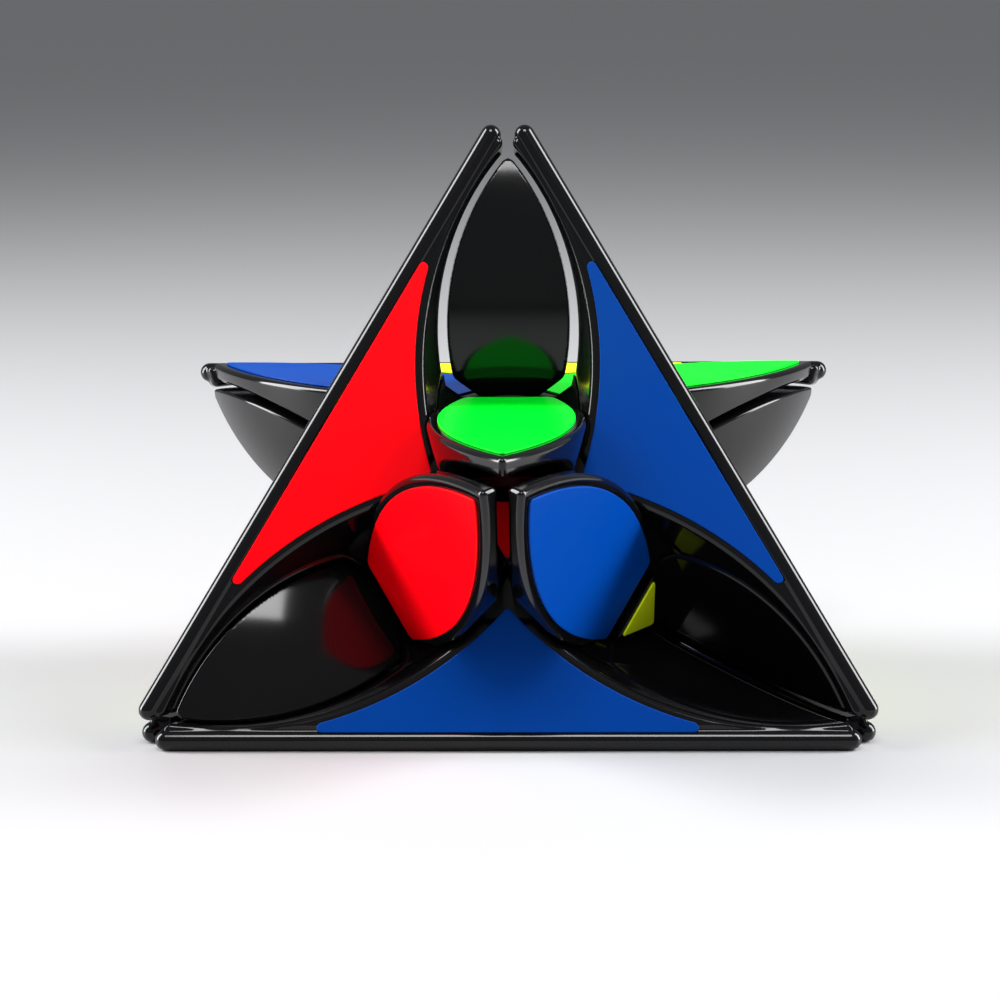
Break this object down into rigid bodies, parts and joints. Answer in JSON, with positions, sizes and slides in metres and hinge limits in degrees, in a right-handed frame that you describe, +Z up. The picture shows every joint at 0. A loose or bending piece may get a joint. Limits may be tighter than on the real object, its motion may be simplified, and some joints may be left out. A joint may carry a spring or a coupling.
{
  "type": "tetrahedral twisty puzzle",
  "caption": "Tetrahedron-shaped twisty puzzle with rimmed edge pieces, lens-shaped petals and corner pieces on a sprung core, shown part-turned into a star.",
  "frame": {"origin": "on the base plane, under the middle of the tetrahedron (straight below its apex)", "axes": "+Z up to the apex; the viewer's side is -Y, and the front bottom edge runs along X"},
  "size_m": [0.103, 0.1142, 0.0847],
  "materials": {
    "black_plastic": "polished black moulded plastic",
    "tile_red": "satin red tile",
    "tile_blue": "satin blue tile",
    "tile_green": "satin green tile",
    "tile_yellow": "satin yellow tile",
    "core_plastic": "matt dark grey moulded plastic",
    "screw_steel": "zinc-plated steel",
    "spring_steel": "bright spring wire"
  },
  "bodies": {
    "frame": {"core": "core_plastic", "screws": "screw_steel", "springs": "spring_steel", "washers": "screw_steel", "edge_bases_frame": "black_plastic", "edge_cap_top_left": "black_plastic", "edge_cap_top_right": "black_plastic", "edge_cap_left_rear": "black_plastic", "edge_cap_right_rear": "black_plastic", "tile_top_left_front": "tile_red", "tile_top_left_side": "tile_blue", "tile_top_right_front": "tile_blue", "tiles_right_side": "tile_yellow", "tile_left_rear_side": "tile_red", "tiles_underside": "tile_green", "petal_top_front": "black_plastic", "petal_left_rear": "black_plastic", "petal_right_rear": "black_plastic", "petal_base_back": "black_plastic", "tile_petal_top_front": "tile_green", "tile_petal_left_rear": "tile_yellow", "tile_petal_right_rear": "tile_yellow", "tile_petal_base_back": "tile_red"},
    "back_layer": {"edge_base_back": "black_plastic", "edge_cap_back": "black_plastic", "tile_back_upper": "tile_yellow", "tile_back_lower": "tile_red", "petal_top_left": "black_plastic", "petal_top_right": "black_plastic", "petal_back_left": "black_plastic", "petal_back_right": "black_plastic", "tile_petal_top_left": "tile_blue", "tile_petal_top_right": "tile_green", "tile_petal_back_left": "tile_red", "tile_petal_back_right": "tile_blue", "spike_top": "black_plastic", "spike_rear_left": "black_plastic", "spike_rear_right": "black_plastic", "flat_rear": "black_plastic", "tile_flat_rear": "tile_blue"},
    "front_layer": {"edge_base_front": "black_plastic", "edge_cap_front": "black_plastic", "tile_front_face": "tile_blue", "tile_front_underside": "tile_green", "petal_front_left": "black_plastic", "petal_front_right": "black_plastic", "petal_base_left": "black_plastic", "petal_base_right": "black_plastic", "tile_petal_front_left": "tile_red", "tile_petal_front_right": "tile_blue", "tile_petal_base_left": "tile_green", "tile_petal_base_right": "tile_yellow", "spike_left": "black_plastic", "flat_right": "black_plastic", "flat_front": "black_plastic", "flat_base": "black_plastic", "tile_flat_right": "tile_yellow", "tile_flat_front": "tile_red", "tile_flat_base": "tile_green"}
  },
  "joints": [
    {"name": "back_layer_turn", "type": "hinge", "parent": "frame", "child": "back_layer", "pos_m": [0, 0, 0.02288], "axis": [0, 0.8165, 0.5773], "continuous": true},
    {"name": "front_layer_turn", "type": "hinge", "parent": "frame", "child": "front_layer", "pos_m": [0, 0, 0.02288], "axis": [0, -0.8165, -0.5773], "continuous": true}
  ]
}
